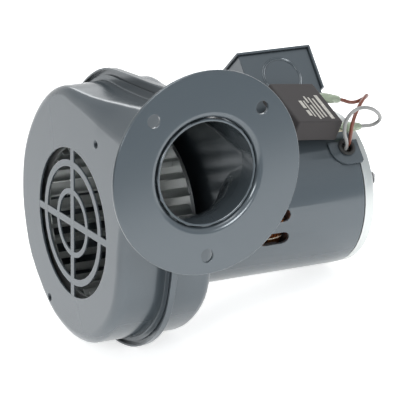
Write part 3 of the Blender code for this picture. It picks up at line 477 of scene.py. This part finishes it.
def carve(piece, *tools, how="DIFFERENCE"):
    for tool in tools:
        alone(piece)
        cut = piece.modifiers.new("carve", "BOOLEAN")
        cut.operation = how
        cut.object = tool
        cut.solver = "EXACT"
        bpy.ops.object.modifier_apply(modifier=cut.name)
        bpy.data.objects.remove(tool, do_unlink=True)


def joined(pieces):
    alone()
    for piece in pieces:
        piece.select_set(True)
    bpy.context.view_layer.objects.active = pieces[0]
    bpy.ops.object.join()
    return bpy.context.object


def curve_through(stations, per_gap):
    """Points of a smooth curve through the stations, with per_gap of them in each gap."""
    stations = [Vector(station) for station in stations]
    last = len(stations) - 1
    points = []
    for i in range(last):
        before, here = stations[max(i - 1, 0)], stations[i]
        there, after = stations[i + 1], stations[min(i + 2, last)]
        for step in range(per_gap):
            t = step / per_gap
            points.append(0.5 * (2 * here + (there - before) * t
                                 + (2 * before - 5 * here + 4 * there - after) * t * t
                                 + (3 * here - before - 3 * there + after) * t ** 3))
    return points + [stations[last]]


def lead(name, route, node, boot):
    """Insulated lead as a curve, from inside the motor to its terminal's sleeve."""
    points = [fan_point(*point) for point in curve_through(route, 3)]
    curve = bpy.data.curves.new(name, "CURVE")
    curve.dimensions = "3D"
    curve.bevel_depth = sizes().lead / 2
    curve.bevel_resolution = 5
    curve.use_fill_caps = True
    spline = curve.splines.new("POLY")
    spline.points.add(len(points) - 1)
    for slot, point in zip(spline.points, points):
        slot.co = (*point, 1.0)
    spline.use_smooth = True
    piece = bpy.data.objects.new(name, curve)
    bpy.context.scene.collection.objects.link(piece)
    curve.materials.append(FINISHES[SLOT_OF[node]]())
    stand_for(piece, node)
    return piece


# ---- pieces ---------------------------------------------------------------------------------------
class BLOWER_OT_leads(bpy.types.Operator):
    """Brown and grey leads, and the clear sleeves on their terminals"""
    bl_idname = "blower.leads"
    bl_label = "Leads"

    def execute(self, context):
        for name, route in (("brown_lead", BROWN_ROUTE), ("grey_lead", GREY_ROUTE)):
            node = "upper_boot" if name == "brown_lead" else "lower_boot"
            boot = refined(node, rounds=2)
            refined(node.replace("boot", "terminal"), sizes().small_edge)
            lead(name + "_insulation", route, name, boot)
        return {"FINISHED"}


class BLOWER_OT_housing(bpy.types.Operator):
    """Two pressed halves of the scroll with the inlet grille, and its tapped collars"""
    bl_idname = "blower.housing"
    bl_label = "Housing"

    def execute(self, context):
        refined("front_shell", sizes().sheet_edge, 38.0)
        refined("rear_shell", sizes().sheet_edge, 38.0)
        start, pitch, root, crest = 0.15, 0.6, 2.36, 2.05
        thread = []
        for turn in range(6):
            thread += [(start + turn * pitch, root), (start + (turn + 0.5) * pitch, crest)]
        profile = [(start, 2.37), (1.02, 2.37), (1.02, 3.7), (1.6, 3.4), (3.8, 3.2), (3.8, root)]
        profile += thread[:0:-1]
        for number, angle in enumerate(TAPPED_ANGLES, 1):
            collar = turned(f"tapped_collar_{number}", profile, round_axis(angle, TAPPED_RADIUS, -HALF_WIDTH),
                            (1, 0, 0), 32)
            smooth(collar, 40.0)
            paint(collar, "blue_grey_enamel")
            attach(collar, "housing")
        neck = [(1.35, 27.1), (1.2, 27.4), (1.2, 28.0), (1.4, 28.2), (11.5, 28.2), (12.5, 27.0), (11.5, 26.9)]
        sleeve = turned("neck_sleeve", neck, Vector((0, 0, 0)), (0, 1, 0), 128)
        smooth(sleeve, 40.0)
        paint(sleeve, "blue_grey_enamel")
        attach(sleeve, "housing")
        return {"FINISHED"}


class BLOWER_OT_flange(bpy.types.Operator):
    """Round outlet flange with its turned-in bore and three bolt holes"""
    bl_idname = "blower.flange"
    bl_label = "Outlet flange"

    def execute(self, context):
        profile = []
        for i in range(9):
            t = math.pi / 2 * i / 8
            profile.append((BORE_ROUND * (1 - math.cos(t)), BORE + BORE_ROUND * (1 - math.sin(t))))
        neck = BORE + BORE_WALL
        profile += [(10.0, BORE), (10.0, neck), (3.4, neck)]
        for i in range(5):
            t = math.pi / 2 * i / 4
            profile.append((FLANGE_SHEET + NECK_ROUND * (1 - math.sin(t)),
                            neck + NECK_ROUND * (1 - math.cos(t))))
        profile += [(FLANGE_SHEET, FLANGE_RIM - 0.45), (FLANGE_SHEET - 0.2, FLANGE_RIM - 0.1),
                    (FLANGE_SHEET / 2, FLANGE_RIM), (0.2, FLANGE_RIM - 0.1), (0.0, FLANGE_RIM - 0.45)]
        piece = turned("outlet_flange_disc", profile, Vector((0, 0, 0)), (0, 1, 0), 128)
        for angle in BOLT_ANGLES:
            x = BOLT_CIRCLE * MM * math.cos(math.radians(angle))
            z = BOLT_CIRCLE * MM * math.sin(math.radians(angle))
            carve(piece, rod_tool(Vector((x, -0.003, z)), Vector((x, 0.006, z)), BOLT_HOLE))
        ease_edges(piece, 0.0003, 50.0)
        smooth(piece, 40.0)
        paint(piece, "blue_grey_enamel")
        stand_for(piece, "outlet_flange")
        return {"FINISHED"}


def fan_blade(sweep, turn):
    """One curved blade along the wheel, its section following the sweep."""
    first, last = WHEEL_SPAN
    alone()
    bpy.ops.mesh.primitive_grid_add(x_subdivisions=len(sweep) - 1, y_subdivisions=1, size=MM)
    blade = bpy.context.object
    for i, vert in enumerate(blade.data.vertices):
        radius, shift = sweep[i % len(sweep)]
        vert.co = fan_point(first if i < len(sweep) else last,
                            -shift * math.cos(turn) - radius * math.sin(turn),
                            radius * math.cos(turn) - shift * math.sin(turn))
    skin = blade.modifiers.new("sheet", "SOLIDIFY")
    skin.thickness = BLADE_SHEET * MM
    skin.offset = 0.0
    bpy.ops.object.modifier_apply(modifier=skin.name)
    return blade


class BLOWER_OT_wheel(bpy.types.Operator):
    """Fan wheel: back plate, blades, front ring, hub and set screw"""
    bl_idname = "blower.wheel"
    bl_label = "Fan wheel"

    def execute(self, context):
        sweep = curve_through(BLADE_CURVE, 4)
        blades = [fan_blade(sweep, math.tau / BLADE_COUNT * number) for number in range(BLADE_COUNT)]
        first, last = WHEEL_SPAN
        for x, inner, outer in ((first, 41.8, 47.5), (last - BAND_SHEET, 40.0, 48.1)):
            profile = [(x, inner), (x, outer), (x + BAND_SHEET, outer), (x + BAND_SHEET, inner)]
            blades.append(turned("band", profile, fan_point(0, 0, 0), (1, 0, 0), 90))
        ring = settle(joined(blades), "wheel_blades_finished")
        smooth(ring, 50.0)
        paint(ring, "zinc_plate")
        stand_for(ring, "wheel_blades")
        refined("wheel_backplate", sizes().small_edge)
        refined("wheel_front_ring", sizes().small_edge)
        refined("wheel_hub", sizes().sheet_edge)
        refined("wheel_set_screw", sizes().small_edge)
        return {"FINISHED"}


class BLOWER_OT_motor_case(bpy.types.Operator):
    """Slotted can, front plate and end cover of the motor"""
    bl_idname = "blower.motor_case"
    bl_label = "Motor case"

    def execute(self, context):
        refined("motor_can", sizes().sheet_edge, 38.0)
        refined("motor_front_plate", sizes().sheet_edge, 38.0, slot="blue_grey_enamel")
        refined("motor_end_cover", sizes().sheet_edge, 32.0)
        return {"FINISHED"}


class BLOWER_OT_windings(bpy.types.Operator):
    """Wire turns of the windings at both ends of the stator core"""
    bl_idname = "blower.windings"
    bl_label = "Windings"

    def execute(self, context):
        wire = sizes().wire / MM
        for node, start, count in (("front_coil_ends", 68.0, 14), ("rear_coil_ends", 118.8, 6)):
            turns = []
            for row in range(count):
                for layer, radius in enumerate((35.6, 33.9, 32.2)):
                    x = start + wire * 0.55 + row * wire * 1.02 + 0.4 * (layer % 2)
                    wander = 0.35 * math.sin(row * 2.3 + layer)
                    alone()
                    bpy.ops.mesh.primitive_torus_add(
                        location=fan_point(x, 0, 0), rotation=(0.02 * wander, math.pi / 2, 0.03 * wander),
                        major_segments=56, minor_segments=6, major_radius=(radius + wander) * MM,
                        minor_radius=wire / 2 * MM)
                    turns.append(bpy.context.object)
            bundle = settle(joined(turns), node + "_wires")
            smooth(bundle, 60.0)
            paint(bundle, "enamelled_copper")
            ties = []
            for number in range(8):
                place = motor_place(22.5 + 45.0 * number, start + count * wire / 2, 34.2)
                alone()
                bpy.ops.mesh.primitive_torus_add(major_segments=20, minor_segments=6, major_radius=3.0 * MM,
                                                 minor_radius=0.35 * MM)
                tie = bpy.context.object
                all_in_edit(tie)
                bpy.ops.transform.resize(value=(count * wire / 6.0 + 0.1, 1.0, 1.0))
                out_of_edit()
                tie.matrix_world = place @ Matrix.Rotation(math.pi / 2, 4, "X")
                ties.append(tie)
            lacing = settle(joined(ties), node + "_lacing")
            smooth(lacing, 60.0)
            paint(lacing, "clear_vinyl", insulation("lacing_cord", (0.55, 0.5, 0.4)))
            stand_for(bundle, node)
            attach(lacing, "housing")
        return {"FINISHED"}


class BLOWER_OT_inner_parts(bpy.types.Operator):
    """Cores, rotor, shaft, bearings and the other pieces inside the motor"""
    bl_idname = "blower.inner_parts"
    bl_label = "Inner parts"

    def execute(self, context):
        for node in ("stator_core", "thermal_protector", "front_bearing", "rear_bearing", "rotor_core",
                     "rotor_front_ring", "rotor_rear_ring", "motor_shaft", "front_thrust_washer",
                     "rear_thrust_washer", "cooling_fan"):
            refined(node, sizes().small_edge)
        return {"FINISHED"}


def pan_screw(name, node, direction):
    """Pan-headed screw with a cross recess, on the axis of its CAD node."""
    low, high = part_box(node)
    middle = (low + high) / 2
    direction = Vector(direction).normalized()
    verts = [v.co for v in NODES[node].data.vertices]
    top = max((v - middle).dot(direction) for v in verts)
    bottom = min((v - middle).dot(direction) for v in verts)
    head = sizes().screw_head / MM
    reach = (top - bottom) / MM
    seat = reach - 2.0
    profile = [(0.0, 0.0), (0.0, 1.4), (0.5, 1.9), (seat, 1.9), (seat, head - 0.1), (seat + 0.15, head),
               (seat + 0.7, head), (seat + 1.3, head * 0.86), (seat + 1.75, head * 0.6),
               (seat + 1.95, head * 0.3), (seat + 2.0, 0.0)]
    piece = turned(name, profile, middle + direction * bottom, direction, 40)
    facing = direction.to_track_quat("Z", "Y").to_matrix().to_4x4()
    place = Matrix.Translation(middle + direction * top) @ facing
    carve(piece, block((4.0, 0.8, 2.0), place, 0.1, 1), block((0.8, 4.0, 2.0), place, 0.1, 1))
    smooth(piece, 40.0)
    paint(piece, "bright_steel")
    stand_for(piece, node)
    return piece


class BLOWER_OT_screws(bpy.types.Operator):
    """Screws of the motor's mounting, end cover and wiring box"""
    bl_idname = "blower.screws"
    bl_label = "Screws"

    def execute(self, context):
        for number in range(1, 5):
            pan_screw(f"mounting_screw_{number}", f"motor_mounting_screw_{number}", (-1, 0, 0))
            pan_screw(f"cover_screw_{number}", f"end_cover_screw_{number}", (1, 0, 0))
        out = motor_place(BOX_ANGLE, 0, 0).col[2].xyz
        for number in (1, 2):
            pan_screw(f"box_screw_{number}", f"box_cover_screw_{number}", out)
        return {"FINISHED"}


class BLOWER_OT_wiring_box(bpy.types.Operator):
    """Wiring box, its cover and its knockout"""
    bl_idname = "blower.wiring_box"
    bl_label = "Wiring box"

    def execute(self, context):
        refined("wiring_box", sizes().sheet_edge)
        refined("box_cover", sizes().sheet_edge)
        refined("knockout_disc", sizes().small_edge)
        place = motor_place(BOX_ANGLE, *BOX_MIDDLE)
        wall = place @ Vector((0, BOX_HALF_DEPTH * MM, 0))
        groove = turned("knockout_ring", [(-0.1, 10.4), (0.28, 10.6), (0.4, 10.9), (0.28, 11.2), (0.05, 11.4),
                                          (0.28, 11.7), (0.4, 12.0), (0.28, 12.3), (-0.1, 12.5)],
                        wall, place.col[1].xyz, 64)
        smooth(groove, 60.0)
        paint(groove, "blue_grey_enamel")
        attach(groove, "housing")
        return {"FINISHED"}


class BLOWER_OT_capacitor(bpy.types.Operator):
    """Capacitor with its printed marks and its bracket"""
    bl_idname = "blower.capacitor"
    bl_label = "Capacitor"

    def execute(self, context):
        place = capacitor_place()
        length, depth, height = CAP_SIZE
        middle = place @ Matrix.Translation(Vector((length, depth, -height)) * MM / 2)
        case = block((length, depth, height), middle, 1.3, 4)
        settle(case, "capacitor_body")
        end = place @ Matrix.Translation(Vector((length, depth / 2, -height / 2)) * MM)
        carve(case, block((1.2, depth - 2 * CAP_RIM, height - 2 * CAP_RIM), end, 0.4, 2))
        ease_edges(case, 0.0002, 40.0)
        smooth(case, 40.0)
        paint(case, "dark_plastic")
        stand_for(case, "capacitor_case")
        bars = []
        # Each bar as place along the top, start and run across it, and width.
        rows = ((5.2, 3.0, 22.0, 2.2), (8.6, 5.0, 17.0, 1.1), (11.0, 4.0, 19.0, 1.0), (13.4, 3.0, 13.0, 1.1),
                (13.4, 18.0, 6.0, 1.1), (15.8, 5.0, 15.0, 0.9), (18.2, 6.0, 5.0, 2.0), (18.2, 13.0, 7.0, 2.0))
        for along, start, run, wide in rows:
            centre = Vector((length - along, start + run / 2, 0.02)) * MM
            bars.append(block((wide, run, 0.06), place @ Matrix.Translation(centre), 0.02, 1))
        marks = settle(joined(bars), "capacitor_marks")
        base = colours().print_marks
        pale_print = finish("pale_print", [c * 0.6 for c in base], base, gloss=(0.5, 0.6), patch_size=900.0)
        paint(marks, "dark_plastic", pale_print)
        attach(marks, "housing")
        # Bracket under the capacitor, its black painted shade: it fills the shadowed gap below the
        # capacitor's front edge
        refined("capacitor_bracket", sizes().small_edge)
        return {"FINISHED"}


class BLOWER_OT_lead_plate(bpy.types.Operator):
    """Plate and grommet where the leads enter the motor"""
    bl_idname = "blower.lead_plate"
    bl_label = "Lead plate"

    def execute(self, context):
        refined("lead_plate", sizes().small_edge)
        place = motor_place(LEAD_ANGLE, LEAD_HOLE[0], LEAD_PLATE_OUT)
        centre = place @ Vector((0, LEAD_HOLE[1] * MM, 0))
        profile = [(-0.9, 3.0), (-0.9, 4.1), (1.5, 4.1)]
        for i in range(9):
            t = math.pi * i / 8
            profile.append((2.1 - 0.6 * math.cos(t), 4.35 + 0.75 * math.sin(t)) if i < 5
                           else (2.1 - 0.6 * math.cos(t), 3.55 + 1.55 * math.sin(t)))
        profile += [(2.5, 3.3), (2.2, 3.0)]
        piece = turned("grommet_ring", profile, centre, place.col[2].xyz, 40)
        smooth(piece, 50.0)
        paint(piece, "black_rubber")
        stand_for(piece, "lead_grommet")
        return {"FINISHED"}


def place_camera(scene):
    lens = bpy.data.cameras.new("camera")
    lens.lens = 233.7
    lens.sensor_width = 36.0
    lens.clip_end = 20.0
    camera = bpy.data.objects.new("camera", lens)
    right = Vector((0.8797, -0.4755, 0.0100)).normalized()
    back = Vector((-0.4574, -0.8402, 0.2912)).normalized()
    up = back.cross(right).normalized()
    right = up.cross(back)
    turn = Matrix((right, up, back)).transposed().to_4x4()
    camera.matrix_world = Matrix.Translation((-0.60895, -1.1102, 0.3714)) @ turn
    scene.collection.objects.link(camera)
    scene.camera = camera


def lay_floor():
    """Pale floor, tilted under the blower as it lies on its seam and the motor's far end."""
    reach = sizes().floor
    alone()
    bpy.ops.mesh.primitive_plane_add(size=2.0, location=(0.0, 0.0, 0.0))
    floor = bpy.context.object
    all_in_edit(floor)
    bpy.ops.transform.resize(value=(reach, reach / 2, 1.0))
    bpy.ops.mesh.subdivide(number_cuts=6)
    out_of_edit()
    tilt = Matrix.Rotation(-math.radians(FLOOR_TILT), 4, "Y")
    settle(floor, "floor", Matrix.Translation((0.0, 0.0, FLOOR_LEVEL)) @ tilt
           @ Matrix.Translation((0.0, reach / 2 + FLOOR_EDGE, 0.0)))
    mat = finish("pale_floor", colours().floor, [min(1, c * 1.04) for c in colours().floor],
                 gloss=(0.6, 0.7), patch_size=3.0, relief=0.05, grain=200.0)
    shader = mat.node_tree.nodes["Principled BSDF"]
    shader.inputs["Emission Color"].default_value = (1, 0.995, 0.985, 1)
    shader.inputs["Emission Strength"].default_value = 0.6
    floor.data.materials.append(mat)


def eased(tree, source, low, high):
    """0 to 1, eased, as the source goes from low to high."""
    step = tree.nodes.new("ShaderNodeMapRange")
    step.interpolation_type = "SMOOTHSTEP"
    step.inputs["From Min"].default_value = low
    step.inputs["From Max"].default_value = high
    tree.links.new(source, step.inputs["Value"])
    return step.outputs["Result"]


def blend(tree, factor, start, end):
    """Colour that goes from start to end, each a colour or another blend."""
    mix = tree.nodes.new("ShaderNodeMix")
    mix.data_type = "RGBA"
    tree.links.new(factor, mix.inputs[0])
    for socket, tint in ((mix.inputs[6], start), (mix.inputs[7], end)):
        if isinstance(tint, tuple):
            socket.default_value = (*tint, 1)
        else:
            tree.links.new(tint, socket)
    return mix.outputs[2]


def light_room(scene):
    """Walls that the paint reflects: grey in front, white behind, dark to one side."""
    world = bpy.data.worlds.new("studio")
    scene.world = world
    world.use_nodes = True
    tree = world.node_tree
    where = tree.nodes.new("ShaderNodeTexCoord")
    split = tree.nodes.new("ShaderNodeSeparateXYZ")
    tree.links.new(where.outputs["Generated"], split.inputs["Vector"])
    walls = blend(tree, eased(tree, split.outputs["Y"], -0.35, 0.15), FRONT_WALL, BACK_WALL)
    room = blend(tree, eased(tree, split.outputs["Z"], 0.05, 0.75), walls, CEILING)
    shaded = blend(tree, eased(tree, split.outputs["X"], -0.96, -0.62), DARK_SIDE, room)
    tree.links.new(shaded, tree.nodes["Background"].inputs["Color"])


def hang_lamps(scene):
    lamps = (("key", (-0.3, -0.2, 1.6), 1.1, 14.0), ("inlet", (-1.0, -0.8, 0.42), 0.4, 5.0),
             ("bore", (0.15, -1.3, 0.35), 0.5, 8.0), ("rim", (0.6, 1.3, 1.0), 0.8, 6.0))
    for name, place, across, power in lamps:
        light = bpy.data.lights.new(name, "AREA")
        light.shape = "SQUARE"
        light.size = across
        light.energy = power
        lamp = bpy.data.objects.new(name, light)
        aim = (Vector(AIM) - Vector(place)).to_track_quat("-Z", "Y").to_matrix().to_4x4()
        lamp.matrix_world = Matrix.Translation(place) @ aim
        scene.collection.objects.link(lamp)


class BLOWER_OT_stage(bpy.types.Operator):
    """Camera, pale floor and soft studio light"""
    bl_idname = "blower.stage"
    bl_label = "Stage"

    def execute(self, context):
        place_camera(context.scene)
        lay_floor()
        context.scene.view_settings.view_transform = "Standard"
        light_room(context.scene)
        hang_lamps(context.scene)
        return {"FINISHED"}


class BLOWER_PT_panel(bpy.types.Panel):
    """Buttons and settings of the blower"""
    bl_idname = "BLOWER_PT_panel"
    bl_label = "Blower"
    bl_space_type = "VIEW_3D"
    bl_region_type = "UI"
    bl_category = "Blower"

    def draw(self, context):
        for operator in OPERATORS:
            self.layout.operator(operator.bl_idname)
        for group in (context.scene.blower_sizes, context.scene.blower_colours):
            for name in group.__annotations__:
                self.layout.prop(group, name)


OPERATORS = (BLOWER_OT_stage, BLOWER_OT_leads, BLOWER_OT_housing, BLOWER_OT_flange, BLOWER_OT_wheel,
             BLOWER_OT_motor_case, BLOWER_OT_windings, BLOWER_OT_inner_parts, BLOWER_OT_screws,
             BLOWER_OT_wiring_box, BLOWER_OT_capacitor, BLOWER_OT_lead_plate)
CLASSES = (BlowerColours, BlowerSizes) + OPERATORS + (BLOWER_PT_panel,)


def register():
    for cls in CLASSES:
        bpy.utils.register_class(cls)
    bpy.types.Scene.blower_colours = bpy.props.PointerProperty(type=BlowerColours)
    bpy.types.Scene.blower_sizes = bpy.props.PointerProperty(type=BlowerSizes)


def unregister():
    del bpy.types.Scene.blower_sizes
    del bpy.types.Scene.blower_colours
    for cls in reversed(CLASSES):
        bpy.utils.unregister_class(cls)


def main():
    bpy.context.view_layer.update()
    register()
    bpy.ops.blower.stage()
    bpy.ops.blower.leads()
    bpy.ops.blower.housing()
    bpy.ops.blower.flange()
    bpy.ops.blower.wheel()
    bpy.ops.blower.motor_case()
    bpy.ops.blower.windings()
    bpy.ops.blower.inner_parts()
    bpy.ops.blower.screws()
    bpy.ops.blower.wiring_box()
    bpy.ops.blower.capacitor()
    bpy.ops.blower.lead_plate()


if __name__ == "__main__":
    main()
